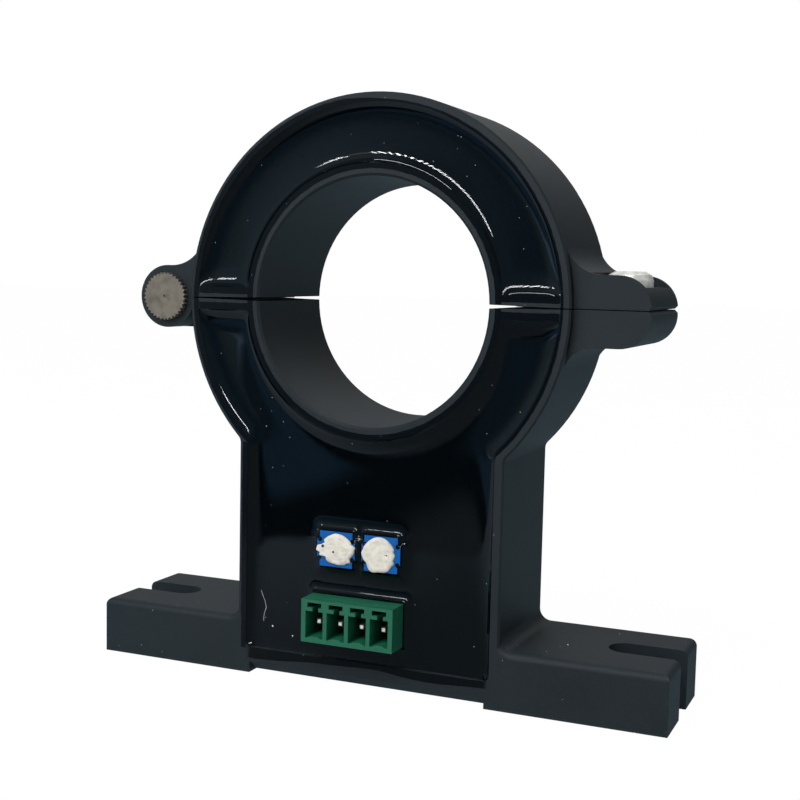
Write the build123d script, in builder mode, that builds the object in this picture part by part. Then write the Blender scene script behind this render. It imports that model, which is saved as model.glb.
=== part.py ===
from build123d import *
import os

os.makedirs("parts", exist_ok=True)

# Sizes in millimetres. X runs along the base, Y from the front to the back and Z up.
# The origin is the centre of the conductor window, halfway through the housing's depth.

# Moulded housing
window_d = 40.0  # conductor window
ring_d = 66.0  # outside of the split ring
housing_depth = 22.8  # front rim to back face
centre_height = 63.1  # mounting plane up to the middle of the window
pedestal_width = 46.5
base_length = 100.0
foot_height = 9.5
rim_wall = 1.5  # outer wall of both shells
window_wall = 2.0  # wall round the conductor window
back_wall = 2.0
split_wall = 1.6  # wall across each end of a half ring
floor_wall = 4.4
split_gap_rim = 0.15  # between the halves, at the outside of the ring
split_gap_window = 0.6  # the same beside the window, where the ends draw back
neck_radius = 1.5  # ring into pedestal
toe_radius = 2.0  # pedestal into foot
foot_round = 1.2  # front and ends of the upper face of the feet
back_round = 1.0
rim_ease = 0.3
window_chamfer = 0.4
cavity_corner = 1.0
relief_width = 42.0  # raised middle of the underside
relief_height = 0.4
relief_chamfer = 1.5
slot_width = 5.6
slot_depth = 12.0  # open end of the slot to its round end

# Hinge on the left
lug_setback = 1.6  # knuckles and lug behind the front rim and ahead of the back face
knuckle_r = 5.3
knuckle_clearance = 0.3  # knuckle to the ring wall beside it
knuckle_blend = 6.5
web_blend = 0.8
middle_knuckle = 9.2
knuckle_gap = 0.25  # between the knuckles, along the pin
pin_d = 3.0
pin_running = 0.05  # radial clearance in the middle knuckle
pin_end_wall = 1.2  # plastic left behind the blind hole
pin_tip_gap = 0.3
pin_head_d = 8.1
pin_head_thickness = 1.0
pin_teeth = 34
pin_tooth_depth = 0.35
pin_dimple_d = 0.6

# Closing lug on the right
lug_reach = 6.1  # ring wall to the axis of the closing screw
lug_tip = 5.65  # axis of the closing screw to the tip of the lug
lug_top_r = 5.2
lug_top_blend = 5.8
lug_bottom_r = 4.75
lug_bottom_drop = 1.0  # centre of the lower round, below the split
lug_blend = 4.5
lug_chamfer = 0.4  # V along the split at the tip
pocket_wall = 1.3
pocket_corner = 0.8
pocket_clearance = 0.4  # round the screw head
seat_height = 3.4  # seat of the screw head above the split plane
screw_d = 3.5
screw_length = 7.5
screw_clearance = 0.3  # radial, in the lug and in the thread's stand-in
screw_tip = 0.5
screw_head_d = 7.2
screw_head_height = 2.45
screw_head_side = 1.1  # straight part under the crown
screw_crown_d = 4.6  # flat middle of the crown
screw_shoulder_d = 6.6
screw_shoulder_height = 1.9
recess_length = 4.0
recess_width = 0.9
recess_depth = 1.6
insert_d = 5.6
insert_length = 4.3
insert_groove = 0.3

# Magnetic core
core_bed = 1.2  # potting between the window wall and the core
core_thickness = 7.0
core_depth = 15.0
core_end_gap = 0.1  # between the ground ends of the two halves
core_window_fit = 0.2
air_gap = 2.6

# Hall element in the air gap
hall_width = 4.1
hall_height = 3.0
hall_thickness = 1.5
hall_fit = 0.1
lead_count = 3
lead_pitch = 1.27
lead_size = 0.4
lead_drop = 1.3  # top edge of the board down to the first lead

# Circuit board, parallel to the front
board_thickness = 1.6
board_margin = 1.25  # to the inside of the shell
board_core_gap = 1.8
post_d = 4.0
post_inset = 3.2
pin_stickout = 1.2  # legs and pins past the back of the board

# Trimmers
trimmer_size = 5.85
trimmer_tab = 6.8  # across the side tabs
trimmer_tab_height = 3.0
trimmer_notch_r = 0.4
trimmer_height = 4.9
trimmer_sink = 0.1  # face behind the front rim
trimmer_spacing = 8.0
trimmer_middle_x = -1.15
trimmer_rise = 22.75  # above the mounting plane
rotor_d = 4.6
rotor_fit = 0.1
rotor_thickness = 1.1
rotor_slot_width = 0.6
rotor_slot_depth = 0.5
seal_d = 5.5
seal_height = 0.6
seal_ease = 0.35
leg_d = 0.5
leg_pitch = 2.54

# Terminal header
header_poles = 4
header_pitch = 3.81
header_x = -1.1
header_rise = 11.55  # middle of the header above the mounting plane
header_end = 2.335  # outer pin to the end of the shell
header_tall = 7.07
header_standoff = 9.15  # board to the open face
header_floor = 1.75
socket_width = 3.13
socket_bottom_wall = 0.7
keyway_top_wall = 0.5
keyway_width = 2.5
keyway_height = 0.8
ledge_height = 0.6
ledge_gap = 1.05
ledge_gap_offset = 0.2  # to the right of the pin
hump_width = 2.4  # raised middle of the floor of each socket
hump_top = 1.2
hump_height = 0.3
header_pin = 0.8
header_pin_tip = 0.15
header_pin_inset = 1.85  # tip behind the open face
header_pin_drop = 0.4  # below the middle of the header

# Potting
potting_recess = 0.8  # surface below the front rim
meniscus = 0.5  # how high it creeps up every wall
wall_slope = 1.6  # how far from the walls of a shell it starts to rise
part_slope = 0.45  # the same from the header and the trimmers

# Small parts on the back of the board: size across, up and off the board
chip_body = (4.9, 3.9, 1.5)
chip_legs = 4
chip_leg_pitch = 1.27
chip_leg = (0.42, 1.0, 0.25)
regulator_body = (4.5, 2.5, 1.5)
regulator_tab = (1.8, 1.4, 0.4)
diode_body = (4.4, 2.6, 2.2)
diode_foot = (1.2, 1.5, 0.25)
can_d = 6.3
can_height = 5.6
can_base = (6.6, 6.6, 0.8)
can_neck = 0.3
ceramic_body = (3.2, 1.6, 1.2)
ceramic_count = 3
ceramic_step = 3.2
resistor_body = (2.0, 1.25, 0.5)
resistor_columns = 2
resistor_rows = 3
resistor_step = (3.2, 2.5)
can_edge_margin = 1.0  # side edge of the board to the capacitor

same_place = 0.001  # how close two places are to count as one

# Levels and places that follow from the sizes
ring_r = ring_d / 2
window_r = window_d / 2
front_y = -housing_depth / 2
back_y = housing_depth / 2
cavity_y = back_y - back_wall
base_z = -centre_height
foot_top_z = base_z + foot_height
cavity_end_z = split_gap_window / 2 + split_wall
hinge_x = -(ring_r + knuckle_clearance + knuckle_r)
lug_x = ring_r + lug_reach
lug_tip_x = lug_x + lug_tip
slot_end_x = base_length / 2 - slot_depth + slot_width / 2
lug_front_y = front_y + lug_setback
lug_back_y = back_y - lug_setback
lug_depth = lug_back_y - lug_front_y
core_inner_r = window_r + window_wall + core_bed
core_outer_r = core_inner_r + core_thickness
core_middle_r = core_inner_r + core_thickness / 2
trimmer_face_y = front_y + trimmer_sink
board_front_y = trimmer_face_y + trimmer_height
board_back_y = board_front_y + board_thickness
board_width = pedestal_width - 2 * (rim_wall + board_margin)
board_top_z = -core_outer_r - board_core_gap
board_bottom_z = base_z + floor_wall + board_margin
board_height = board_top_z - board_bottom_z
board_middle_z = (board_top_z + board_bottom_z) / 2
header_z = base_z + header_rise
header_front_y = board_front_y - header_standoff
header_width = (header_poles - 1) * header_pitch + 2 * header_end
trimmer_z = base_z + trimmer_rise
trimmer_x = {
    "zero": trimmer_middle_x - trimmer_spacing / 2,
    "span": trimmer_middle_x + trimmer_spacing / 2,
}
potting_y = front_y + potting_recess
header_pin_reach = abs(header_x) + (header_poles - 1) * header_pitch / 2 + header_pin / 2
post_reach = board_width / 2 - post_inset - post_d / 2
column_x = (header_pin_reach + post_reach) / 2  # small parts stand between the pins and the posts
can_x = board_width / 2 - can_edge_margin - can_base[0] / 2
chip_up = chip_body[1] + 2 * chip_leg[1]
regulator_up = regulator_body[1] + regulator_tab[1]
ceramic_up = ceramic_body[1] + (ceramic_count - 1) * ceramic_step
resistor_up = resistor_body[1] + (resistor_rows - 1) * resistor_step[1]


def facing(y):
    """A plane square to Y at that depth. Its extrusions come towards the front."""
    return Plane.XZ.offset(-y)


def upright(x, z):
    """A plane through the middle of the depth, facing the front, with its origin at x and z."""
    return Plane(origin=(x, 0, z), x_dir=(1, 0, 0), z_dir=(0, -1, 0))


def save(builder, name):
    """Label a finished piece and write it to its own file."""
    builder.part.label = name
    export_step(builder.part, f"parts/{name}.step")


def cut_at_split(half):
    """Remove what lies past the split. half is 1 for the upper shell and -1 for the lower."""
    reach = base_length
    line = [
        (-reach, split_gap_rim / 2),
        (-ring_r, split_gap_rim / 2),
        (-window_r, split_gap_window / 2),
        (window_r, split_gap_window / 2),
        (ring_r, split_gap_rim / 2),
        (reach, split_gap_rim / 2),
        (reach, -reach),
        (-reach, -reach),
    ]
    with BuildLine() as far_side:
        Polyline(*[(x, half * z) for x, z in line], close=True)
    make_face(far_side.edges(), mode=Mode.SUBTRACT)


def cavity_profile(half, corner=cavity_corner):
    """The inside of a shell: the ring channel, and in the lower shell the pedestal below it."""
    with BuildSketch(mode=Mode.PRIVATE) as cavity:
        Circle(ring_r - rim_wall)
        if half < 0:
            inside = pedestal_width - 2 * rim_wall
            with Locations((0, base_z + floor_wall)):
                Rectangle(inside, centre_height - floor_wall, align=(Align.CENTER, Align.MIN))
            neck = cavity.vertices().filter_by(
                lambda v: abs(abs(v.X) - inside / 2) < same_place and v.Y > foot_top_z
            )
            fillet(neck.group_by(Axis.Y)[0], neck_radius + rim_wall)
            if corner:
                fillet(cavity.vertices().group_by(Axis.Y)[0], corner)
        Circle(window_r + window_wall, mode=Mode.SUBTRACT)
        with Locations((0, -half * (base_length / 2 - cavity_end_z))):
            Rectangle(2 * base_length, base_length, mode=Mode.SUBTRACT)
    add(cavity.sketch)


def lobe_profile(x, z, r, upper_blend, lower_blend):
    """A lobe rounded about x and z that grows out of the ring wall, blended into it on both sides."""
    with BuildSketch(mode=Mode.PRIVATE) as lobe:
        Circle(ring_r)
        with Locations((x / 2, z)):
            Rectangle(abs(x), 2 * r)
        corners = lobe.vertices().filter_by(lambda v: abs(v.X) > window_r and v.X * x > 0)
        corners = corners.filter_by(lambda v: abs(v.X) < ring_r)
        fillet(corners.sort_by(Axis.Y)[-1], upper_blend)
        corners = lobe.vertices().filter_by(lambda v: window_r < abs(v.X) < ring_r and v.X * x > 0)
        fillet(corners.sort_by(Axis.Y)[0], lower_blend)
        with Locations((x, z)):
            Circle(r)
        Circle(ring_r - rim_wall / 2, mode=Mode.SUBTRACT)
        away = -x / abs(x) * base_length / 2
        with Locations((away, 0)):
            Rectangle(base_length, 2 * base_length, mode=Mode.SUBTRACT)
    add(lobe.sketch)


def closing_lug(half):
    """Half of the closing lug, on the shell that is being built."""
    with BuildSketch(facing(lug_back_y)) as lug:
        if half > 0:
            lobe_profile(lug_tip_x - lug_top_r, 0, lug_top_r, lug_top_blend, lug_blend)
        else:
            lobe_profile(lug_tip_x - lug_bottom_r, -lug_bottom_drop, lug_bottom_r, lug_blend, lug_blend)
        cut_at_split(half)
        with Locations((lug_tip_x, 0)):
            Rectangle(2 * lug_chamfer, 2 * lug_chamfer, rotation=45, mode=Mode.SUBTRACT)
    extrude(lug.sketch, amount=lug_depth)


def window_and_core_cuts():
    """The conductor window with its eased edges, and the openings for the ends of the core."""
    with BuildSketch(facing(back_y)) as window:
        Circle(window_r)
    extrude(window.sketch, amount=housing_depth, mode=Mode.SUBTRACT)
    for y, towards in ((front_y, 1), (back_y, -1)):
        with Locations(Plane(origin=(0, y, 0), z_dir=(0, towards, 0))):
            Cone(
                window_r + window_chamfer,
                window_r,
                window_chamfer,
                align=(Align.CENTER, Align.CENTER, Align.MIN),
                mode=Mode.SUBTRACT,
            )
    with Locations((core_middle_r, 0, 0), (-core_middle_r, 0, 0)):
        Box(
            core_thickness + 2 * core_window_fit,
            core_depth + 2 * core_window_fit,
            2 * cavity_end_z,
            mode=Mode.SUBTRACT,
        )


def hollow_out(half):
    """The cavity of a shell, open at the front and closed by the back wall."""
    with BuildSketch(facing(cavity_y)) as cavity:
        cavity_profile(half)
    extrude(cavity.sketch, amount=cavity_y - front_y, mode=Mode.SUBTRACT)


def outer_edges(face):
    """The edges round the outside of the front or back, without those at the split and the base."""
    return face.edges().filter_by(
        lambda e: e.geom_type == GeomType.CIRCLE
        or abs(e.tangent_at(0.5).X) < 0.5
        or abs(e.center().Z - foot_top_z) < same_place
    )


def ease_rim(shell):
    """Break the outer edge of the front rim."""
    chamfer(outer_edges(shell.faces().filter_by(Axis.Y).sort_by(Axis.Y)[0]), rim_ease)


def ease_back(shell):
    """Round the outer edge of the closed back."""
    fillet(outer_edges(shell.faces().filter_by(Axis.Y).sort_by(Axis.Y)[-1]), back_round)


# Both feet, joined under the pedestal that they blend into
with BuildPart() as feet:
    with BuildSketch(facing(back_y)) as side:
        with Locations((0, base_z)):
            Rectangle(base_length, foot_height, align=(Align.CENTER, Align.MIN))
            Rectangle(pedestal_width, foot_height + 2 * toe_radius, align=(Align.CENTER, Align.MIN))
        toes = side.vertices().filter_by(
            lambda v: abs(abs(v.X) - pedestal_width / 2) < same_place and abs(v.Y - foot_top_z) < same_place
        )
        fillet(toes, toe_radius)
    extrude(amount=housing_depth)
    front_edges = feet.faces().sort_by(Axis.Y)[0].edges().filter_by(
        lambda e: foot_top_z - same_place < e.center().Z < foot_top_z + toe_radius
    )
    tip_edges = feet.edges().filter_by(Axis.Y).filter_by(
        lambda e: abs(abs(e.center().X) - base_length / 2) < same_place
    )
    fillet(front_edges + tip_edges.group_by(Axis.Z)[-1], foot_round)

# Lower shell: ring half and pedestal
with BuildPart() as lower_housing:
    with BuildSketch(facing(back_y)) as outline:
        Circle(ring_r)
        with Locations((0, base_z)):
            Rectangle(pedestal_width, centre_height, align=(Align.CENTER, Align.MIN))
        cut_at_split(-1)
        necks = outline.vertices().filter_by(
            lambda v: abs(abs(v.X) - pedestal_width / 2) < same_place
        )
        fillet(necks.group_by(Axis.Y)[-1], neck_radius)
    extrude(amount=housing_depth)
    ease_rim(lower_housing)
    add(feet.part)
    ease_back(lower_housing)

    # Slots of the feet, open at their ends
    with BuildSketch(Plane.XY.offset(base_z)):
        for end_x in (slot_end_x, -slot_end_x):
            with Locations((end_x, 0)):
                Circle(slot_width / 2)
        with Locations((base_length / 2, 0), (-base_length / 2, 0)):
            Rectangle(2 * (slot_depth - slot_width / 2), slot_width)
    extrude(amount=foot_height, mode=Mode.SUBTRACT)

    # Relief under the middle, with the front and back edges of its roof chamfered
    with BuildSketch(Plane.YZ.offset(-relief_width / 2)):
        with BuildLine():
            roof_z = base_z + relief_height
            Polyline(
                (front_y, base_z),
                (front_y, roof_z + relief_chamfer),
                (front_y + relief_chamfer, roof_z),
                (back_y - relief_chamfer, roof_z),
                (back_y, roof_z + relief_chamfer),
                (back_y, base_z),
                close=True,
            )
        make_face()
    extrude(amount=relief_width, mode=Mode.SUBTRACT)

    closing_lug(-1)
    with BuildSketch(facing(middle_knuckle / 2)):
        lobe_profile(hinge_x, 0, knuckle_r, knuckle_blend, web_blend)
        cut_at_split(-1)
        with Locations((hinge_x, 0)):
            Circle(knuckle_r)
            Circle(pin_d / 2 + pin_running, mode=Mode.SUBTRACT)
    extrude(amount=middle_knuckle)

    hollow_out(-1)
    window_and_core_cuts()

    # Blind hole for the threaded insert
    with Locations((lug_x, 0, 0)):
        Cylinder(
            insert_d / 2,
            insert_length + split_gap_rim / 2,
            align=(Align.CENTER, Align.CENTER, Align.MAX),
            mode=Mode.SUBTRACT,
        )

    # Posts that carry the board
    with BuildSketch(facing(cavity_y)):
        with Locations((0, board_middle_z)):
            with GridLocations(board_width - 2 * post_inset, board_height - 2 * post_inset, 2, 2):
                Circle(post_d / 2)
    extrude(amount=cavity_y - board_back_y)
save(lower_housing, "lower_housing")

# Upper shell: ring half, the two outer knuckles and the lug with the screw pocket
with BuildPart() as upper_housing:
    with BuildSketch(facing(back_y)):
        Circle(ring_r)
        cut_at_split(1)
    extrude(amount=housing_depth)
    ease_rim(upper_housing)
    ease_back(upper_housing)
    closing_lug(1)

    outer_knuckle = (lug_depth - middle_knuckle) / 2 - knuckle_gap
    for knuckle_back_y in (lug_front_y + outer_knuckle, lug_back_y):
        with BuildSketch(facing(knuckle_back_y)):
            lobe_profile(hinge_x, 0, knuckle_r, knuckle_blend, knuckle_blend)
            cut_at_split(1)
            with Locations((hinge_x, 0)):
                Circle(knuckle_r)
        extrude(amount=outer_knuckle)
    with BuildSketch(facing(lug_back_y - pin_end_wall)):
        with Locations((hinge_x, 0)):
            Circle(pin_d / 2)
    extrude(amount=lug_depth - pin_end_wall, mode=Mode.SUBTRACT)

    hollow_out(1)
    window_and_core_cuts()

    # Screw pocket, open at the tip of the lug
    with BuildSketch(Plane.XY.offset(seat_height)) as pocket:
        pocket_inner_x = lug_x - screw_head_d / 2 - pocket_clearance
        with Locations((pocket_inner_x, 0)):
            Rectangle(
                2 * (lug_tip_x - pocket_inner_x),
                lug_depth - 2 * pocket_wall,
                align=(Align.MIN, Align.CENTER),
            )
        fillet(pocket.vertices().group_by(Axis.X)[0], pocket_corner)
    extrude(amount=lug_top_r + lug_top_blend, mode=Mode.SUBTRACT)
    with Locations((lug_x, 0, 0)):
        Cylinder(
            screw_d / 2 + screw_clearance,
            2 * lug_top_r,
            align=(Align.CENTER, Align.CENTER, Align.MIN),
            mode=Mode.SUBTRACT,
        )
save(upper_housing, "upper_housing")

# Hinge pin with a straight-knurled head
with BuildPart() as hinge_pin:
    with BuildSketch(facing(lug_front_y)):
        with Locations((hinge_x, 0)):
            Circle(pin_head_d / 2)
            with PolarLocations(pin_head_d / 2, pin_teeth):
                Rectangle(
                    2**0.5 * pin_tooth_depth, 2**0.5 * pin_tooth_depth, rotation=45, mode=Mode.SUBTRACT
                )
    extrude(amount=pin_head_thickness)
    with BuildSketch(facing(lug_back_y - pin_end_wall - pin_tip_gap)):
        with Locations((hinge_x, 0)):
            Circle(pin_d / 2)
    extrude(amount=lug_depth - pin_end_wall - pin_tip_gap)
    with Locations(facing(lug_front_y - pin_head_thickness) * Pos(hinge_x, 0)):
        CounterSinkHole(pin_dimple_d / 8, pin_dimple_d / 2, depth=pin_dimple_d / 2)
save(hinge_pin, "hinge_pin")

# Closing screw: pan head with a cross recess. Its shank is plain, at the thread's outer size.
with BuildPart() as closing_screw:
    with BuildSketch(upright(lug_x, seat_height)):
        with BuildLine():
            Polyline(
                (0, screw_head_height),
                (0, -screw_length),
                (screw_d / 2 - screw_tip, -screw_length),
                (screw_d / 2, screw_tip - screw_length),
                (screw_d / 2, 0),
                (screw_head_d / 2, 0),
                (screw_head_d / 2, screw_head_side),
                (screw_shoulder_d / 2, screw_shoulder_height),
                (screw_crown_d / 2, screw_head_height),
                close=True,
            )
        make_face()
    revolve(axis=Axis((lug_x, 0, 0), (0, 0, 1)))
    with BuildSketch(Plane.XY.offset(seat_height + screw_head_height)):
        with Locations((lug_x, 0)):
            Rectangle(recess_length, recess_width)
            Rectangle(recess_width, recess_length)
    extrude(amount=-recess_depth, mode=Mode.SUBTRACT)
save(closing_screw, "closing_screw")

# Brass insert that the closing screw bites
with BuildPart() as threaded_insert:
    with Locations((lug_x, 0, -split_gap_rim / 2)):
        Cylinder(insert_d / 2, insert_length, align=(Align.CENTER, Align.CENTER, Align.MAX))
        Hole(screw_d / 2 + screw_clearance, depth=2 * insert_length)
    with BuildSketch(upright(lug_x, -split_gap_rim / 2 - insert_length / 2)):
        with Locations((insert_d / 2, 0)):
            Rectangle(2 * insert_groove, insert_length / 4)
    revolve(axis=Axis((lug_x, 0, 0), (0, 0, 1)), mode=Mode.SUBTRACT)
save(threaded_insert, "threaded_insert")


def core_half(half):
    """Half of the core ring, ground flat at its ends."""
    with BuildSketch(facing(core_depth / 2)) as ring:
        Circle(core_outer_r)
        Circle(core_inner_r, mode=Mode.SUBTRACT)
        with Locations((0, -half * (base_length / 2 - core_end_gap / 2))):
            Rectangle(2 * base_length, base_length, mode=Mode.SUBTRACT)
    extrude(ring.sketch, amount=core_depth)


with BuildPart() as upper_core:
    core_half(1)
save(upper_core, "upper_core")

lower_cores = {}
for side, direction in (("left", -1), ("right", 1)):
    with BuildPart() as quarter:
        core_half(-1)
        with Locations((-direction * (base_length - air_gap) / 2, 0, 0)):
            Box(base_length, housing_depth, 2 * base_length, mode=Mode.SUBTRACT)
    save(quarter, f"lower_core_{side}")
    lower_cores[side] = quarter

# Spacer in the air gap, with the hall element let into it from below
hall_z = -core_middle_r
with BuildPart() as air_gap_spacer:
    with Locations((0, 0, hall_z)):
        Box(air_gap, core_depth, core_thickness)
        with Locations((0, 0, hall_height / 2 + hall_fit)):
            Box(
                hall_thickness + 2 * hall_fit,
                hall_width + 2 * hall_fit,
                core_thickness,
                align=(Align.CENTER, Align.CENTER, Align.MAX),
                mode=Mode.SUBTRACT,
            )
save(air_gap_spacer, "air_gap_spacer")

with BuildPart() as hall_element:
    with Locations((0, 0, hall_z)):
        Box(hall_thickness, hall_width, hall_height)
    chamfer(hall_element.edges().filter_by(Axis.Z).group_by(Axis.X)[-1], hall_thickness / 4)
save(hall_element, "hall_element")

# Legs of the hall element: each drops behind the board, then bends forward through it
with BuildPart() as hall_leads:
    for number in range(lead_count):
        leg_y = (number - (lead_count - 1) / 2) * lead_pitch
        bend_z = board_top_z - lead_drop - number * lead_pitch
        drop = hall_z - hall_height / 2 - bend_z
        with Locations((0, leg_y, bend_z)):
            Box(
                lead_size,
                lead_size,
                drop,
                align=(Align.CENTER, Align.CENTER, Align.MIN),
            )
        with Locations((0, leg_y + lead_size / 2, bend_z)):
            Box(
                lead_size,
                leg_y + lead_size / 2 - board_front_y,
                lead_size,
                align=(Align.CENTER, Align.MAX, Align.CENTER),
            )
save(hall_leads, "hall_leads")


def header_pin_places():
    """The pins' places in the plane of the board."""
    first = header_x - (header_poles - 1) * header_pitch / 2
    return [(first + pole * header_pitch, header_z - header_pin_drop) for pole in range(header_poles)]


def trimmer_leg_places():
    """The legs of both trimmers: three each, the middle one set up."""
    places = []
    for x in trimmer_x.values():
        for step in (-1, 0, 1):
            lift = leg_pitch / 2 if step == 0 else -leg_pitch / 2
            places.append((x + step * leg_pitch / 2, trimmer_z + lift))
    return places


with BuildPart() as circuit_board:
    with BuildSketch(facing(board_back_y)):
        with Locations((0, board_middle_z)):
            Rectangle(board_width, board_height)
        with Locations(*header_pin_places()):
            Rectangle(header_pin, header_pin, mode=Mode.SUBTRACT)
        with Locations(*trimmer_leg_places()):
            Circle(leg_d / 2, mode=Mode.SUBTRACT)
        lead_rows = [(0, board_top_z - lead_drop - n * lead_pitch) for n in range(lead_count)]
        with Locations(*lead_rows):
            Rectangle(lead_size, lead_size, mode=Mode.SUBTRACT)
    extrude(amount=board_thickness)
save(circuit_board, "circuit_board")

# Header shell: a keyed socket for each pole of the plug
with BuildPart() as header_shell:
    with BuildSketch(facing(board_front_y)):
        with Locations((header_x, header_z)):
            Rectangle(header_width, header_tall)
    extrude(amount=header_standoff)
    with BuildSketch(facing(board_front_y - header_floor)):
        socket_floor = header_z - header_tall / 2 + socket_bottom_wall
        keyway_top = header_z + header_tall / 2 - keyway_top_wall
        keyway_floor = keyway_top - keyway_height
        ledge_floor = keyway_floor - ledge_height
        for x, z in header_pin_places():
            with Locations((x, socket_floor)):
                Rectangle(socket_width, ledge_floor - socket_floor, align=(Align.CENTER, Align.MIN))
            with Locations((x + ledge_gap_offset, ledge_floor)):
                Rectangle(ledge_gap, ledge_height, align=(Align.CENTER, Align.MIN))
            with Locations((x, keyway_floor)):
                Rectangle(keyway_width, keyway_height, align=(Align.CENTER, Align.MIN))
            with BuildLine() as hump:
                Polyline(
                    (x - hump_width / 2, socket_floor),
                    (x - hump_top / 2, socket_floor + hump_height),
                    (x + hump_top / 2, socket_floor + hump_height),
                    (x + hump_width / 2, socket_floor),
                    close=True,
                )
            make_face(hump.edges(), mode=Mode.SUBTRACT)
    extrude(amount=header_standoff, mode=Mode.SUBTRACT)
    with BuildSketch(facing(board_front_y)):
        with Locations(*header_pin_places()):
            Rectangle(header_pin, header_pin)
    extrude(amount=header_standoff, mode=Mode.SUBTRACT)
save(header_shell, "header_shell")

with BuildPart() as header_pins:
    pin_length = header_standoff - header_pin_inset + board_thickness + pin_stickout
    with BuildSketch(facing(board_back_y + pin_stickout)):
        with Locations(*header_pin_places()):
            Rectangle(header_pin, header_pin)
    extrude(amount=pin_length)
    ends = header_pins.faces().filter_by(Axis.Y)
    chamfer(ends.edges(), header_pin_tip)
save(header_pins, "header_pins")


def trimmer_profile():
    """A square body with a tab on each side, notched where the tab starts."""
    Rectangle(trimmer_size, trimmer_size)
    Rectangle(trimmer_tab, trimmer_tab_height)
    with GridLocations(trimmer_size, trimmer_tab_height, 2, 2):
        Circle(trimmer_notch_r, mode=Mode.SUBTRACT)


# Trimmers: body, rotor with a driver slot, and the dab of sealant over it
trimmer_bodies = {}
for name, x in trimmer_x.items():
    middle = upright(x, trimmer_z)
    with BuildPart() as body:
        with BuildSketch(middle.offset(-board_front_y)):
            trimmer_profile()
        extrude(amount=trimmer_height)
        with BuildSketch(middle.offset(-trimmer_face_y)):
            Circle(rotor_d / 2 + rotor_fit)
        extrude(amount=-rotor_thickness, mode=Mode.SUBTRACT)
    save(body, f"trimmer_body_{name}")
    trimmer_bodies[name] = body

    with BuildPart() as rotor:
        with BuildSketch(middle.offset(-trimmer_face_y)):
            Circle(rotor_d / 2)
        extrude(amount=-rotor_thickness)
        with BuildSketch(middle.offset(-trimmer_face_y)):
            Rectangle(rotor_d, rotor_slot_width)
        extrude(amount=-rotor_slot_depth, mode=Mode.SUBTRACT)
    save(rotor, f"trimmer_rotor_{name}")

    with BuildPart() as seal:
        with BuildSketch(middle.offset(-trimmer_face_y)):
            Circle(seal_d / 2)
        extrude(amount=seal_height)
        chamfer(seal.faces().sort_by(Axis.Y)[0].edges(), seal_ease)
    save(seal, f"trimmer_seal_{name}")

with BuildPart() as trimmer_pins:
    with BuildSketch(facing(board_back_y + pin_stickout)):
        with Locations(*trimmer_leg_places()):
            Circle(leg_d / 2)
    extrude(amount=board_thickness + pin_stickout)
save(trimmer_pins, "trimmer_pins")


def on_board(x, z):
    """A plane on the back of the board, facing back, with its origin at x and z."""
    return Plane(origin=(x, board_back_y, z), x_dir=(-1, 0, 0), z_dir=(0, 1, 0))


def column_places(*heights):
    """The middles of parts of those heights, spread down the board with equal gaps."""
    gap = (board_height - sum(heights)) / (len(heights) + 1)
    places = []
    top_z = board_top_z - gap
    for height in heights:
        places.append(top_z - height / 2)
        top_z -= height + gap
    return places


chip_z, regulator_z, ceramic_z = column_places(chip_up, regulator_up, ceramic_up)
diode_z, can_z, resistor_z = column_places(resistor_up, can_base[1], resistor_up)

# Amplifier in a flat package with two rows of legs
with BuildPart() as amplifier_chip:
    across, up, off = chip_body
    leg_across, leg_reach, leg_thick = chip_leg
    with BuildSketch(on_board(column_x, chip_z).offset(leg_thick)):
        Rectangle(across, up)
    extrude(amount=off)
    with BuildSketch(on_board(column_x, chip_z)):
        with GridLocations(chip_leg_pitch, up, chip_legs, 2):
            Rectangle(leg_across, 2 * leg_reach)
    extrude(amount=leg_thick)
save(amplifier_chip, "amplifier_chip")

with BuildPart() as voltage_regulator:
    across, up, off = regulator_body
    tab_across, tab_reach, tab_thick = regulator_tab
    with BuildSketch(on_board(column_x, regulator_z - tab_reach / 2)):
        Rectangle(across, up)
    extrude(amount=off)
    with BuildSketch(on_board(column_x, regulator_z)):
        with Locations((0, up / 2 - tab_reach / 2)):
            Rectangle(tab_across, 2 * tab_reach)
    extrude(amount=tab_thick)
save(voltage_regulator, "voltage_regulator")

with BuildPart() as protection_diode:
    across, up, off = diode_body
    foot_reach, foot_up, foot_thick = diode_foot
    with BuildSketch(on_board(-column_x, diode_z)):
        Rectangle(across, up)
    extrude(amount=off)
    with BuildSketch(on_board(-column_x, diode_z)):
        Rectangle(across + foot_reach, foot_up)
    extrude(amount=foot_thick)
save(protection_diode, "protection_diode")

with BuildPart() as bulk_capacitor:
    across, up, off = can_base
    with BuildSketch(on_board(-can_x, can_z)):
        Rectangle(across, up)
    extrude(amount=off)
    with BuildSketch(on_board(-can_x, can_z).offset(off)):
        Circle(can_d / 2)
    extrude(amount=can_height)
    chamfer(bulk_capacitor.faces().sort_by(Axis.Y)[-1].edges(), can_neck)
save(bulk_capacitor, "bulk_capacitor")

with BuildPart() as ceramic_capacitors:
    across, up, off = ceramic_body
    with BuildSketch(on_board(column_x, ceramic_z)):
        with GridLocations(0, ceramic_step, 1, ceramic_count):
            Rectangle(across, up)
    extrude(amount=off)
save(ceramic_capacitors, "ceramic_capacitors")

with BuildPart() as chip_resistors:
    across, up, off = resistor_body
    with BuildSketch(on_board(-column_x, resistor_z)):
        with GridLocations(*resistor_step, resistor_columns, resistor_rows):
            Rectangle(across, up)
    extrude(amount=off)
save(chip_resistors, "chip_resistors")


def front_openings():
    """What stands through the potting in the pedestal: the header and both trimmers."""
    with Locations((header_x, header_z)):
        Rectangle(header_width, header_tall, mode=Mode.SUBTRACT)
    with Locations(*[(x, trimmer_z) for x in trimmer_x.values()]):
        Rectangle(trimmer_tab, trimmer_size, mode=Mode.SUBTRACT)


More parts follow.
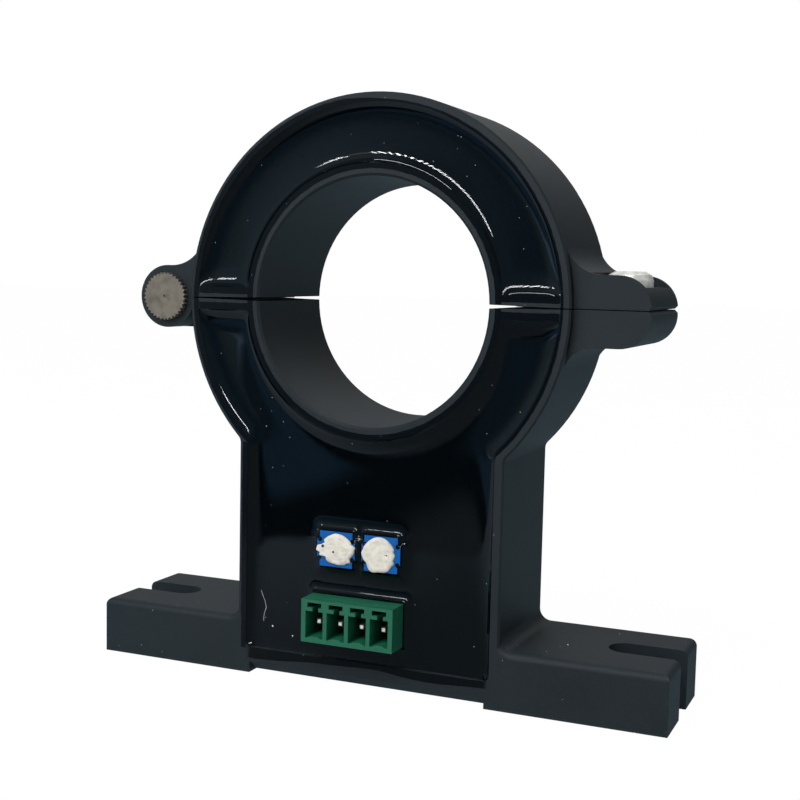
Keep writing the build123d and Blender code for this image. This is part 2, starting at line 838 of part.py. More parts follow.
def air_over_potting(half):
    """What the potting leaves free in a shell, narrower at the back where it creeps up the walls."""
    with BuildPart() as air:
        with BuildSketch(facing(potting_y)):
            cavity_profile(half, corner=0)
            if half < 0:
                front_openings()
        extrude(amount=potting_recess)
        floor = air.faces().sort_by(Axis.Y)[-1]
        chamfer(floor.outer_wire().edges(), wall_slope, meniscus, reference=floor)
        floor = air.faces().sort_by(Axis.Y)[-1]
        inner = [edge for wire in floor.inner_wires() for edge in wire.edges()]
        if inner:
            chamfer(inner, part_slope, meniscus, reference=floor)
    return air.part


def pour(half):
    """Fill a shell up to where the potting touches its walls."""
    with BuildSketch(facing(cavity_y)) as fill:
        cavity_profile(half)
    extrude(fill.sketch, amount=cavity_y - potting_y + meniscus)


upper_air = air_over_potting(1)
with BuildPart() as upper_potting:
    pour(1)
    add(upper_air, mode=Mode.SUBTRACT)
    add(upper_core.part, mode=Mode.SUBTRACT)
save(upper_potting, "upper_potting")

lower_air = air_over_potting(-1)
with BuildPart() as lower_potting:
    pour(-1)
    add(lower_air, mode=Mode.SUBTRACT)
    with BuildSketch(facing(board_front_y)):
        with Locations((header_x, header_z)):
            Rectangle(header_width, header_tall)
        for x in trimmer_x.values():
            with BuildSketch(mode=Mode.PRIVATE) as body_profile:
                trimmer_profile()
            with Locations((x, trimmer_z)):
                add(body_profile.sketch)
    extrude(amount=header_standoff, mode=Mode.SUBTRACT)
    with BuildSketch(facing(cavity_y)):
        with Locations((0, board_middle_z)):
            with GridLocations(board_width - 2 * post_inset, board_height - 2 * post_inset, 2, 2):
                Circle(post_d / 2)
    extrude(amount=cavity_y - board_back_y, mode=Mode.SUBTRACT)
    embedded = [
        lower_cores["left"],
        lower_cores["right"],
        air_gap_spacer,
        hall_element,
        hall_leads,
        circuit_board,
        header_pins,
        trimmer_pins,
        amplifier_chip,
        voltage_regulator,
        protection_diode,
        bulk_capacitor,
        ceramic_capacitors,
        chip_resistors,
    ]
    for piece in embedded:
        add(piece.part, mode=Mode.SUBTRACT)
save(lower_potting, "lower_potting")
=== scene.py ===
"""The split-core current sensor's looks, built round its CAD frame.

The object's own sizes are in millimetres, which MM turns into Blender's metres. The studio's
sizes are in metres.
"""

import math

import bmesh
import bpy
from mathutils import Matrix, Vector, noise
from mathutils.geometry import delaunay_2d_cdt


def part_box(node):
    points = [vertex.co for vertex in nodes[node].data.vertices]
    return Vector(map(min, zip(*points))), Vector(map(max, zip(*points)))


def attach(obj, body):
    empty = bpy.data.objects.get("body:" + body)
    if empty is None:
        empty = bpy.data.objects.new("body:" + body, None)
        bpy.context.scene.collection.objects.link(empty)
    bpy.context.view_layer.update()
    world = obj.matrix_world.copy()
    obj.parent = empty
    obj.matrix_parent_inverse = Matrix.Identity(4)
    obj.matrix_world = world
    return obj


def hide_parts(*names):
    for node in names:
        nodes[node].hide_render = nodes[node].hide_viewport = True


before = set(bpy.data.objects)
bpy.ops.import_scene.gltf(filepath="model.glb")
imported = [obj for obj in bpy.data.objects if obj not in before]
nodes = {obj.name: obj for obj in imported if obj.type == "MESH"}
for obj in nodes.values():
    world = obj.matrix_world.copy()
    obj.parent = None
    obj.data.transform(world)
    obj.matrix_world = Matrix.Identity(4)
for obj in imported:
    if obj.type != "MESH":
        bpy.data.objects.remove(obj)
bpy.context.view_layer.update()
MM = 0.001


def box_in_mm(node):
    """A node's lowest and highest corners at rest, in millimetres."""
    low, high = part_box(node)
    return Vector(low) / MM, Vector(high) / MM


# The camera, fitted to the photograph
CAMERA_PLACE = (86.25 * MM, -201.91 * MM, 5.09 * MM)
CAMERA_YAW = math.radians(22.925)
CAMERA_PITCH = math.radians(5.596)
CAMERA_ROLL = math.radians(1.257)
CAMERA_LENS = 59.142
CAMERA_SENSOR = 36
CAMERA_NEAR = 0.01
CAMERA_FAR = 20

# The studio's light, and the room that the gloss mirrors
SKY_LIGHT = 0.45
FLOOR_WHITE = 0.985  # the rest is the floor's own grey, which takes the shadow
FLOOR_REACH = 3.0
LAMP_AIM = (0, 0, -0.01)
ROOM_LEFT = -1.6
ROOM_RIGHT = 1.0
ROOM_FRONT = -0.6
ROOM_BACK = 1.4
ROOM_HEIGHT = 1.0
CEILING_BACK = 0.6
SIDE_X = 0.9
SIDE_HEIGHT = 1.2
FAR_HEIGHT = 0.7
TABLE_BACK = -0.013
BEADS_Y = -0.50
BEADS_Z = 0.30
BEAD_PITCH = 0.019
BEAD_WIDTH = 0.004
BEAD_HEIGHT = 0.07
BEAD_SLANT = 0.002
BEAD_LIGHT = 70.0
BAR_HALF_HEIGHT = 0.028
STRIP_LIGHT = 34.0

# Levels of the moulding, most of them read off the frame
RIM_Y = -box_in_mm("lower_housing")[1].y
FLOOR_Z = box_in_mm("lower_housing")[0].z
CAVITY_BACK_Y = box_in_mm("lower_potting")[1].y
FLOOR_WALL_Z = box_in_mm("lower_potting")[0].z
SPLIT_WALL_Z = box_in_mm("upper_potting")[0].z
RIM_WALL_R = box_in_mm("upper_potting")[1].z
WINDOW_WALL_R = 22.0
SIDE_WALL_X = 21.75
NECK_R = 3.0
CORNER_R = 1.0
FOOT_Z = -53.6
NECK_X = SIDE_WALL_X + NECK_R
NECK_Z = -math.sqrt((RIM_WALL_R + NECK_R) ** 2 - NECK_X**2)
RIM_SPLIT_X = math.sqrt(RIM_WALL_R**2 - SPLIT_WALL_Z**2)
WINDOW_SPLIT_X = math.sqrt(WINDOW_WALL_R**2 - SPLIT_WALL_Z**2)
RIM_ANGLE = math.degrees(math.asin(SPLIT_WALL_Z / RIM_WALL_R))
WINDOW_ANGLE = math.degrees(math.asin(SPLIT_WALL_Z / WINDOW_WALL_R))

# The header's place, and a trimmer's outline with its side tabs and their notches
HEADER_LOW, HEADER_HIGH = box_in_mm("header_shell")
TRIMMER_MIDDLES = [
    sum(box_in_mm(f"trimmer_body_{name}"), Vector()) / 2 for name in ("zero", "span")
]
TRIMMER_HALF = 2.925
TAB_HALF_WIDTH = 3.4
TAB_HALF_HEIGHT = 1.5
NOTCH_R = 0.4

# How the resin lies in the shells
RESIN_RECESS = 1.15  # its flat behind the rim
RESIN_Y = RIM_Y + RESIN_RECESS
RESIN_CREEP = 1.1  # how high it climbs the walls
WALL_REACH = 0.95  # how far from a wall the climb starts
WALL_SHARES = (0.9, 0.12, 1.0, 1.0)  # of that height: rim or side, floor, window, split
PART_CREEP = 0.9  # share of that height beside the header and the trimmers
PART_REACH = 0.5
RESIN_SWELL = 0.02
SWELL_SIZE = 11.0
RIPPLE = 0.008
RIPPLE_GAIN = 4
RIPPLE_SIZE = 1.5

# How finely its face is divided
POINT_STEP = 0.4  # along its edges
ARC_STEPS = 6  # at least
ROWS = (0.12, 0.25, 0.4, 0.6, 0.85, 1.2, 1.7, 2.4)  # rows of points beside the edges
ROW_SLACK = 0.02
GRID_STEP = 0.9
GRID_LINES = 0.87  # a triangular grid's lines lie that much closer than its points
GRID_CLEARANCE = 0.4
SAME_POINT = 0.01
HIDDEN_RANK = 1e6  # puts the faces of its sides and back after those of its face
PLACE_RANKS = Vector((7.3, 1.9, 211.1))  # what a millimetre along x, y and z adds to it

# The film of resin over the front edges of the shells' inner walls
FILM_WIDTH = 0.9
SPLIT_FILM_WIDTH = 1.15
FILM_FADE = 0.2
FILM_RAGGED = 0.25
FILM_SAG = 3.0  # how unevenly it lies on the bottom wall
RIM_FILM_R = 32.4
RIM_FILM_LOSS = 0.55  # how much narrower it is on the ring's right half
NECK_FADE = 0.5

# A dab of sealant
DAB_HEIGHT = 0.45
DAB_TURNS = 160
DAB_RINGS = 22
DAB_WOBBLE = 0.02
DAB_LUMPS = ((0.05, 1.6), (0.025, 4))  # each a height and a number to the millimetre
DAB_STEEPNESS = 10
BRUSH_RING = 0.68  # where the brush left a shallow ring, as a share of the radius
BRUSH_RING_DEPTH = 0.05
BRUSH_RING_WIDTH = 0.05
DOT_DEPTH = 0.25
DOT_WIDTH = 0.16

# Each dab's middle, its pinhole, and its outline as angles in degrees and radii
ZERO_MIDDLE = (-4.8, -40.3)
ZERO_DOT = (-5.43, -40.75)
ZERO_OUTLINE = [
    *((0, 3.0), (9, 3.2), (22, 2.7), (60, 2.55), (120, 2.6), (140, 2.75), (150, 2.9)),
    *((158, 2.5), (166, 2.9), (176, 3.8), (186, 3.9), (193, 3.3), (200, 3.55), (207, 3.0)),
    *((213, 2.6), (224, 2.8), (262, 2.55), (308, 2.75), (318, 3.0), (328, 2.6)),
]
SPAN_MIDDLE = (2.6, -40.35)
SPAN_DOT = (4.0, -40.4)
SPAN_OUTLINE = [
    *((0, 2.75), (12, 2.62), (22, 2.8), (45, 2.75), (90, 2.8), (135, 2.75), (165, 2.9)),
    *((180, 3.1), (200, 2.95), (216, 2.8), (242, 3.3), (270, 2.95), (297, 3.1)),
    *((318, 2.85), (330, 2.95), (345, 2.6)),
]
DARK_DOT = (0.03, 0.028, 0.02)
PALE_DOT = (0.12, 0.115, 0.10)
BARE_BLUE = (0.004, 0.012, 0.045)
DAB_MARKS = [  # each a middle, a radius and a colour
    (ZERO_DOT, 0.19, DARK_DOT),
    (SPAN_DOT, 0.12, PALE_DOT),
    ((-7.35, -39.9), 0.26, BARE_BLUE),
    ((-7.15, -41.85), 0.26, BARE_BLUE),
]

# Dust and a fibre
DUST_DENSITY = 16000.0  # grains on a square metre
DUST_SIZE = 0.07
DUST_SEED = 4
DUST_LOWEST = 1.0  # over the floor
SPECK_SIZE = 0.14
SPECK_SEED = 2
SPECKS = [
    (-19.2, RESIN_Y, -52.7),
    (-18.6, RESIN_Y, -53.6),
    (-19.9, RESIN_Y, -51.2),
    (31.95, -2.6, FOOT_Z),
    (19.9, RESIN_Y, -29.0),
    (20.3, RESIN_Y - 0.1, -30.1),
    (-17.2, RESIN_Y, -54.9),
    (-13.4, RESIN_Y, -56.1),
]
LINT_Y = RESIN_Y - 0.06
LINT = [
    (-19.31, LINT_Y, -48.96),
    (-18.9, LINT_Y, -50.1),
    (-18.5, LINT_Y, -51.62),
    (-18.75, LINT_Y, -53.0),
    (-18.95, LINT_Y, -54.2),
    (-19.03, LINT_Y, -55.31),
]
LINT_RADIUS = 0.035
LINT_WANDER = 0.5
LINT_CURL = 900.0  # turns of its wander in a metre
LINT_POINTS = 70
LINT_SIDES = 6


class Wire:
    """What a node gives, to be used in expressions. Numbers may stand beside it."""

    def __init__(self, home, socket):
        self.home, self.socket = home, socket

    def maths(self, operation, first, second=0.0, clamp=False):
        settings = {"operation": operation, "use_clamp": clamp}
        return self.home.node("Math", settings, {0: first, 1: second})

    def __add__(self, other):
        return self.maths("ADD", self, other)

    __radd__ = __add__

    def __sub__(self, other):
        return self.maths("SUBTRACT", self, other)

    def __rsub__(self, other):
        return self.maths("SUBTRACT", other, self)

    def __mul__(self, other):
        return self.maths("MULTIPLY", self, other)

    __rmul__ = __mul__

    def __truediv__(self, other):
        return self.maths("DIVIDE", self, other)

    def __pow__(self, other):
        return self.maths("POWER", self, other)

    def __abs__(self):
        return self.maths("ABSOLUTE", self)

    def clamp(self):
        return self.maths("ADD", self, 0.0, clamp=True)

    def between(self, low, high):
        """0 below low, 1 above high and a smooth step in between."""
        sockets = {"Value": self, "From Min": low, "From Max": high}
        return self.home.node("MapRange", {"interpolation_type": "SMOOTHSTEP"}, sockets)

    def past(self, level, fade=FILM_FADE):
        """0 up to a level in millimetres, then 1 after that fade."""
        return self.between(level * MM, (level + fade) * MM)

    def before(self, level, fade=FILM_FADE):
        """1 up to a level in millimetres, then 0 after that fade."""
        return 1 - self.past(level, fade)


class Nodes:
    """A tree whose nodes all come from one method."""

    prefix = ""

    def __init__(self, tree):
        self.tree = tree

    def node(self, kind, settings=None, sockets=None, output=0):
        """Make a node, apply its settings, then the values or links of its sockets."""
        made = self.tree.nodes.new(self.prefix + kind)
        for name, value in (settings or {}).items():
            setattr(made, name, value)
        for name, value in (sockets or {}).items():
            self.feed(made.inputs[name], value)
        return Wire(self, made.outputs[output])

    def feed(self, socket, value):
        """Link a wire to a socket, or set its value. Colours come without their alpha of 1."""
        if isinstance(value, Wire):
            self.tree.links.new(value.socket, socket)
        elif socket.type == "RGBA":
            socket.default_value = (*value, 1)
        else:
            socket.default_value = value


class Shader(Nodes):
    """The nodes of a material or the world."""

    prefix = "ShaderNode"


class Finish(Shader):
    """One material, made of procedural nodes. Its constants are set on the shader's sockets."""

    def __init__(self, name, **constants):
        self.material = bpy.data.materials.new(name)
        self.material.use_nodes = True
        super().__init__(self.material.node_tree)
        self.surface = self.tree.nodes["Principled BSDF"]
        self.output = self.tree.nodes["Material Output"]
        self.place = self.node("TexCoord", output="Object")
        for socket, value in constants.items():
            self.shade(socket.replace("_", " "), value)

    def axes(self):
        """The place's x, y and z."""
        split = self.node("SeparateXYZ", None, {0: self.place}).socket.node
        return [Wire(self, axis) for axis in split.outputs]

    def noise(self, size, detail=2.0, roughness=0.5, place=None):
        """Cloudy noise from 0 to 1 whose lumps are about that size."""
        sockets = {
            "Vector": place or self.place,
            "Scale": 1 / size,
            "Detail": detail,
            "Roughness": roughness,
        }
        return self.node("TexNoise", None, sockets)

    def stretched(self, x, y, z):
        """The place with each axis divided by a length, for marks that run along one axis."""
        sockets = {"Vector": self.place, "Scale": (1 / x, 1 / y, 1 / z)}
        return self.node("Mapping", {"vector_type": "POINT"}, sockets)

    def mix(self, share, first, second):
        """A colour between two colours. A Mix node numbers them 6 and 7, and its result 2."""
        return self.node("Mix", {"data_type": "RGBA"}, {0: share, 6: first, 7: second}, output=2)

    def shade(self, socket, value):
        self.feed(self.surface.inputs[socket], value)

    def show(self, shader):
        """Put another shader on the surface."""
        self.feed(self.output.inputs["Surface"], shader)

    def bump(self, height, depth, strength=1.0):
        """Surface relief. The height runs from 0 to 1, over that depth."""
        sockets = {"Height": height, "Distance": depth, "Strength": strength}
        self.shade("Normal", self.node("Bump", None, sockets))


def resin_film(finish):
    """1 where the resin has crept over the front edge of an inner wall, 0 elsewhere."""
    x, y, z = finish.axes()
    reach, height = (x * x + z * z) ** 0.5, abs(z)
    ragged = FILM_RAGGED * MM * finish.noise(1.2 * MM)
    over_window_wall = (reach + ragged).past(WINDOW_WALL_R - FILM_WIDTH)
    over_window_wall = over_window_wall * reach.before(WINDOW_WALL_R)
    over_split_wall = (height + ragged).past(SPLIT_WALL_Z - SPLIT_FILM_WIDTH)
    over_split_wall = over_split_wall * height.before(SPLIT_WALL_Z)
    over_split_wall = over_split_wall * reach.before(RIM_WALL_R - 0.3, 0.3)
    over_split_wall = over_split_wall * reach.past(WINDOW_WALL_R - FILM_WIDTH)
    loss = RIM_FILM_LOSS * MM * x.between(-8 * MM, 4 * MM)
    over_rim = reach.past(RIM_WALL_R - FILM_FADE) * (reach + ragged + loss).before(RIM_FILM_R)
    over_rim = over_rim * z.past(NECK_Z, NECK_FADE)
    over_side_wall = (x + ragged).past(-SIDE_WALL_X - FILM_WIDTH) * x.before(-SIDE_WALL_X)
    over_side_wall = over_side_wall * z.past(FLOOR_WALL_Z - 0.5, 0.5)
    over_side_wall = over_side_wall * z.before(NECK_Z, NECK_FADE)
    sag = FILM_SAG * MM * finish.noise(16 * MM, detail=1)
    over_floor_wall = (z + sag).past(FLOOR_WALL_Z - 0.1) * z.before(FLOOR_WALL_Z, 0.3)
    over_floor_wall = over_floor_wall * abs(x).before(SIDE_WALL_X - CORNER_R, CORNER_R)
    film = over_window_wall + over_split_wall + over_rim + over_side_wall + over_floor_wall
    return film.clamp() * y.before(RIM_Y + 0.02, 0.04)


def moulded_black():
    """Fine spark-eroded black plastic of the two shells, glossy where the film lies on it."""
    finish = Finish("moulded_black", IOR=1.37)
    cloud = finish.noise(9 * MM, detail=3)
    grain = finish.noise(0.28 * MM, detail=3, roughness=0.6)
    film = resin_film(finish)
    plastic = finish.mix(cloud, (0.0070, 0.0110, 0.0135), (0.0105, 0.0155, 0.0185))
    finish.shade("Base Color", finish.mix(film, plastic, (0.0012, 0.0020, 0.0026)))
    matt = 0.46 + 0.12 * grain + 0.06 * cloud
    finish.shade("Roughness", matt - 0.38 * film)
    finish.bump(grain * (1 - film), 0.03 * MM, 0.6)
    return finish.material


def glossy_potting():
    """Black casting resin, cured with a wet gloss."""
    finish = Finish("glossy_potting", IOR=1.5)
    cloud = finish.noise(14 * MM)
    swirl = finish.noise(5 * MM, detail=1)
    black = finish.mix(cloud, (0.0004, 0.0010, 0.0012), (0.0007, 0.0014, 0.0018))
    finish.shade("Base Color", black)
    finish.shade("Roughness", 0.02 + 0.035 * swirl)
    finish.bump(swirl, 0.02 * MM, 0.25)
    return finish.material


def plated(name, colour, rough, scratch_length, metallic=1.0):
    """Plated steel with fine scratches. A dull skin is only partly metallic."""
    finish = Finish(name, Metallic=metallic)
    along = finish.stretched(scratch_length, 0.06 * MM, 0.06 * MM)
    scratches = finish.noise(1.0, place=along)
    tarnish = finish.noise(1.6 * MM, detail=4, roughness=0.6)
    dull = tuple(0.62 * part for part in colour)
    finish.shade("Base Color", finish.mix(tarnish.between(0.35, 0.75), colour, dull))
    finish.shade("Roughness", rough + 0.16 * scratches + 0.14 * tarnish)
    finish.bump(scratches, 0.01 * MM, 0.4)
    return finish.material


def sheared_pins(front_y):
    """Tinned pins: the sheared tips are pale bare metal brightened by a painted highlight, and
    painted shade darkens their sides.
    """
    finish = Finish("sheared_pins", Metallic=0.2)
    _, y, _ = finish.axes()
    mottle = finish.noise(0.3 * MM, detail=3)
    # Painted highlight: the tips' near-white colour stands in for light on the sheared faces.
    tip_with_painted_highlight = finish.mix(mottle, (0.85, 0.84, 0.80), (0.70, 0.69, 0.64))
    # Painted shade: behind the tips the pins' sides get a near-black colour, not the lit metal's.
    sides = y.past(front_y + 0.02, 0.05)
    finish.shade("Base Color", finish.mix(sides, tip_with_painted_highlight, (0.06, 0.065, 0.06)))
    finish.shade("Roughness", 0.4 + 0.2 * mottle)
    return finish.material


def moulded(name, dark, light, rough=0.4, shine=0.5):
    """Coloured plastic with a slight grain."""
    finish = Finish(name, Specular_IOR_Level=shine)
    cloud = finish.noise(2.5 * MM, detail=3)
    grain = finish.noise(0.2 * MM)
    finish.shade("Base Color", finish.mix(cloud, dark, light))
    finish.shade("Roughness", rough + 0.1 * grain)
    finish.bump(grain, 0.012 * MM, 0.5)
    return finish.material


def chalky_sealant():
    """Off-white lacquer with a dull skin, marked by pinholes and by gaps that show blue."""
    finish = Finish("chalky_sealant", IOR=1.45)
    crumbs = finish.noise(0.35 * MM, detail=4, roughness=0.65)
    stain = finish.noise(1.3 * MM, detail=3)
    lacquer = finish.mix(stain.between(0.35, 0.8), (0.50, 0.48, 0.43), (0.36, 0.345, 0.30))
    x, _, z = finish.axes()
    for (middle_x, middle_z), radius, colour in DAB_MARKS:
        across, up = (x - middle_x * MM) / (radius * MM), (z - middle_z * MM) / (radius * MM)
        clear = (across * across + up * up).between(0.6, 1.5)
        lacquer = finish.mix(clear, colour, lacquer)
    finish.shade("Base Color", lacquer)
    finish.shade("Roughness", 0.55 + 0.2 * crumbs)
    finish.bump(crumbs, 0.08 * MM, 0.7)
    return finish.material


def dress(name, material):
    """Give a CAD node its finish."""
    mesh = nodes[name].data
    mesh.materials.clear()
    mesh.materials.append(material)


def placed(name, data):
    """An object of a mesh, a lamp or a camera, put into the scene."""
    made = bpy.data.objects.new(name, data)
    bpy.context.scene.collection.objects.link(made)
    return made


def piece(name, mesh, body, node=None):
    """A piece that rides on a body, in a node's stead when one is given."""
    made = placed(name, mesh)
    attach(made, body)
    if node:
        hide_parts(node)
    return made


def upper_walls(x, z):
    """Distances to the walls of the upper shell's channel."""
    r = math.hypot(x, z)
    return RIM_WALL_R - r, RIM_WALL_R, r - WINDOW_WALL_R, z - SPLIT_WALL_Z


def lower_walls(x, z):
    """Distances to the walls of the lower shell's channel and pedestal."""
    x, r = abs(x), math.hypot(x, z)
    from_floor = z - FLOOR_WALL_Z
    if z >= NECK_Z:
        across, up = x - NECK_X, z - NECK_Z
        beside_neck = NECK_Z * across - NECK_X * up > 0
        side = math.hypot(across, up) - NECK_R if beside_neck else RIM_WALL_R - r
    elif x > SIDE_WALL_X - CORNER_R and from_floor < CORNER_R:
        from_centre = math.hypot(x - SIDE_WALL_X + CORNER_R, from_floor - CORNER_R)
        side = from_floor = CORNER_R - from_centre
    else:
        side = SIDE_WALL_X - x
    return side, from_floor, r - WINDOW_WALL_R, -SPLIT_WALL_Z - z


def beside(x, z, low, high):
    """Distance to a part that fills that rectangle, 0 inside it."""
    return math.hypot(max(low.x - x, 0, x - high.x), max(low.z - z, 0, z - high.z))


def no_parts(x, z):
    """Nothing looks out of the upper shell."""
    return []


def lower_parts(x, z):
    """Distances to the parts that look out of the lower shell: the header and the trimmers."""
    gaps = [beside(x, z, HEADER_LOW, HEADER_HIGH)]
    body = Vector((TRIMMER_HALF, 0, TRIMMER_HALF))
    tabs = Vector((TAB_HALF_WIDTH, 0, TAB_HALF_HEIGHT))
    for middle in TRIMMER_MIDDLES:
        gaps.append(min(beside(x, z, middle - half, middle + half) for half in (body, tabs)))
    return gaps


def in_notch(x, z):
    """Whether a place is in a notch where a trimmer's tab starts."""
    return any(
        math.hypot(abs(x - middle.x) - TRIMMER_HALF, abs(z - middle.z) - TAB_HALF_HEIGHT) < NOTCH_R
        for middle in TRIMMER_MIDDLES
    )


def arc(x, z, radius, start, stop, outwards):
    """Points of an arc between two angles in degrees, with normals away from or to its centre."""
    steps = max(ARC_STEPS, round(math.radians(abs(stop - start)) * radius / POINT_STEP))
    angles = [math.radians(start + (stop - start) * step / steps) for step in range(steps + 1)]
    return [
        (
            x + radius * math.cos(angle),
            z + radius * math.sin(angle),
            outwards * math.cos(angle),
            outwards * math.sin(angle),
        )
        for angle in angles
    ]


def run(start, stop, normal):
    """Points of a straight wall, each with its normal into the resin."""
    start, stop = Vector(start), Vector(stop)
    steps = max(1, round((stop - start).length / POINT_STEP))
    return [(*start.lerp(stop, step / steps), *normal) for step in range(steps + 1)]


def upper_edge():
    """The edge of the resin in the upper shell."""
    return (
        arc(0, 0, RIM_WALL_R, RIM_ANGLE, 180 - RIM_ANGLE, -1)
        + run((-RIM_SPLIT_X, SPLIT_WALL_Z), (-WINDOW_SPLIT_X, SPLIT_WALL_Z), (0, 1))
        + arc(0, 0, WINDOW_WALL_R, 180 - WINDOW_ANGLE, WINDOW_ANGLE, 1)
        + run((WINDOW_SPLIT_X, SPLIT_WALL_Z), (RIM_SPLIT_X, SPLIT_WALL_Z), (0, 1))
    )


def lower_edge():
    """The edge of the resin in the lower shell: the right half and its mirror image."""
    neck_angle = math.degrees(math.atan2(NECK_Z, NECK_X))
    corner_x, corner_z = SIDE_WALL_X - CORNER_R, FLOOR_WALL_Z + CORNER_R
    right = (
        arc(0, 0, WINDOW_WALL_R, -90, -WINDOW_ANGLE, 1)
        + run((WINDOW_SPLIT_X, -SPLIT_WALL_Z), (RIM_SPLIT_X, -SPLIT_WALL_Z), (0, -1))
        + arc(0, 0, RIM_WALL_R, -RIM_ANGLE, neck_angle, -1)
        + arc(NECK_X, NECK_Z, NECK_R, neck_angle + 180, 180, 1)
        + run((SIDE_WALL_X, NECK_Z), (SIDE_WALL_X, corner_z), (-1, 0))
        + arc(corner_x, corner_z, CORNER_R, 0, -90, -1)
        + run((corner_x, FLOOR_WALL_Z), (0, FLOOR_WALL_Z), (0, 1))
    )
    return right + [(-x, z, -across, up) for x, z, across, up in reversed(right)]


def turned_round(half, x, z):
    """Half an outline and the same half turned about its middle, both moved there."""
    whole = half + [(-px, -pz, -across, -up) for px, pz, across, up in half]
    return [(px + x, pz + z, across, up) for px, pz, across, up in whole]


def header_edge():
    """The edge of the resin round the header. Each corner spreads its normals."""
    half_x, half_z = (HEADER_HIGH.x - HEADER_LOW.x) / 2, (HEADER_HIGH.z - HEADER_LOW.z) / 2
    half = (
        run((-half_x, -half_z), (half_x, -half_z), (0, -1))
        + arc(half_x, -half_z, 0, -90, 0, 1)
        + run((half_x, -half_z), (half_x, half_z), (1, 0))
        + arc(half_x, half_z, 0, 0, 90, 1)
    )
    return turned_round(half, HEADER_LOW.x + half_x, HEADER_LOW.z + half_z)


def trimmer_edge(middle):
    """The edge of the resin round a trimmer, with its side tabs and their notches."""
    side, tab, rise, notch = TRIMMER_HALF, TAB_HALF_WIDTH, TAB_HALF_HEIGHT, NOTCH_R
    half = (
        run((-side, -side), (side, -side), (0, -1))
        + arc(side, -side, 0, -90, 0, 1)
        + run((side, -side), (side, -rise - notch), (1, 0))
        + arc(side, -rise, notch, 270, 0, -1)
        + run((side + notch, -rise), (tab, -rise), (0, -1))
        + arc(tab, -rise, 0, -90, 0, 1)
        + run((tab, -rise), (tab, rise), (1, 0))
        + arc(tab, rise, 0, 0, 90, 1)
        + run((tab, rise), (side + notch, rise), (0, 1))
        + arc(side, rise, notch, 0, -270, -1)
        + run((side, rise + notch), (side, side), (1, 0))
        + arc(side, side, 0, 0, 90, 1)
    )
    return turned_round(half, middle.x, middle.z)


def resin_rise(x, z, walls, parts):
    """How far the resin stands over its flat, as it climbs walls and parts and swells slowly."""
    level = 1.0
    for gap, share in zip(walls, WALL_SHARES):
        level *= 1 - share * math.exp(-max(gap, 0) / WALL_REACH)
    for gap in parts:
        level *= 1 - PART_CREEP * math.exp(-gap / PART_REACH)
    edge = 1 - level
    swell = RESIN_SWELL * noise.noise((x / SWELL_SIZE, 0.5, z / SWELL_SIZE))
    ripple = RIPPLE * noise.noise((x / RIPPLE_SIZE, 3.5, z / RIPPLE_SIZE))
    return RESIN_CREEP * edge + level * swell + RIPPLE_GAIN * edge * level * ripple


def edge_points(edges):
    """The points of every edge, each place once, and the links that close each edge."""
    points, links = [], []
    for edge in edges:
        first = len(points)
        for x, z, _, _ in edge:
            if len(points) == first or (points[-1] - Vector((x, z))).length > SAME_POINT:
                points.append(Vector((x, z)))
        if (points[-1] - points[first]).length < SAME_POINT:
            points.pop()
        count = len(points) - first
        links += [(first + step, first + (step + 1) % count) for step in range(count)]
    return points, links


def inner_points(edges, walls_at, parts_at):
    """Points in rows beside every edge, and a triangular grid between the rows."""
    points, taken = [], set()

    def add_if_clear(x, z, gap):
        spot = round(x, 1), round(z, 1), gap
        if spot not in taken and min(*walls_at(x, z), *parts_at(x, z)) > gap:
            taken.add(spot)
            points.append(Vector((x, z)))

    for row in ROWS:
        for x, z, across, up in (entry for edge in edges for entry in edge):
            add_if_clear(x + across * row, z + up * row, row - ROW_SLACK)
    reach = math.ceil(-FLOOR_WALL_Z / GRID_STEP)
    for column in range(-reach, reach + 1):
        for line in range(-reach, reach + 1):
            x = (column + 0.5 * (line % 2)) * GRID_STEP
            add_if_clear(x, line * GRID_LINES * GRID_STEP, ROWS[-1] + GRID_CLEARANCE)
    return points


def resin_face(edges, walls_at, parts_at):
    """The open face of the resin between its edges, with holes for the parts."""
    points, links = edge_points(edges)
    points += inner_points(edges, walls_at, parts_at)
    flat, _, triangles = delaunay_2d_cdt(points, links, [], 0, 1e-5)[:3]
    resin = bmesh.new()
    corners = []
    for x, z in flat:
        rise = resin_rise(x, z, walls_at(x, z), parts_at(x, z))
        corners.append(resin.verts.new(Vector((x, RESIN_Y - rise, z)) * MM))
    for triangle in triangles:
        x, z = sum((flat[corner] for corner in triangle), Vector((0, 0))) / 3
        clear = all(gap > 0 for gap in parts_at(x, z)) or in_notch(x, z)
        if min(walls_at(x, z)) > 0 and clear:
            resin.faces.new([corners[corner] for corner in triangle]).smooth = True
    loose = [vert for vert in resin.verts if not vert.link_faces]
    bmesh.ops.delete(resin, geom=loose, context="VERTS")
    return resin


def sort_hidden_faces(resin, shown):
    """Sort the faces after the shown ones by place, as each run makes them in another order."""

    def rank(face):
        if face.index < shown:
            return face.index
        return HIDDEN_RANK + PLACE_RANKS.dot(face.calc_center_median() / MM)

    resin.faces.index_update()
    resin.faces.sort(key=rank)


def poured_resin(name, body, node, edges, walls_at, parts_at):
    """The resin in a shell: its face climbs the walls, its sides and back follow the cavity."""
    resin = resin_face(edges, walls_at, parts_at)
    shown = len(resin.faces)
    rim = [edge for edge in resin.edges if edge.is_boundary]
    for edge in rim:
        edge.smooth = False
    sides = bmesh.ops.extrude_edge_only(resin, edges=rim)["geom"]
    for vert in (item for item in sides if isinstance(item, bmesh.types.BMVert)):
        vert.co.y = CAVITY_BACK_Y * MM
    back = [item for item in sides if isinstance(item, bmesh.types.BMEdge) and item.is_boundary]
    bmesh.ops.triangle_fill(resin, edges=back, use_beauty=True)
    bmesh.ops.recalc_face_normals(resin, faces=resin.faces[:])
    sort_hidden_faces(resin, shown)
    mesh = bpy.data.meshes.new(name)
    resin.to_mesh(mesh)
    resin.free()
    mesh.materials.append(potting_finish)
    return piece(name, mesh, body, node)


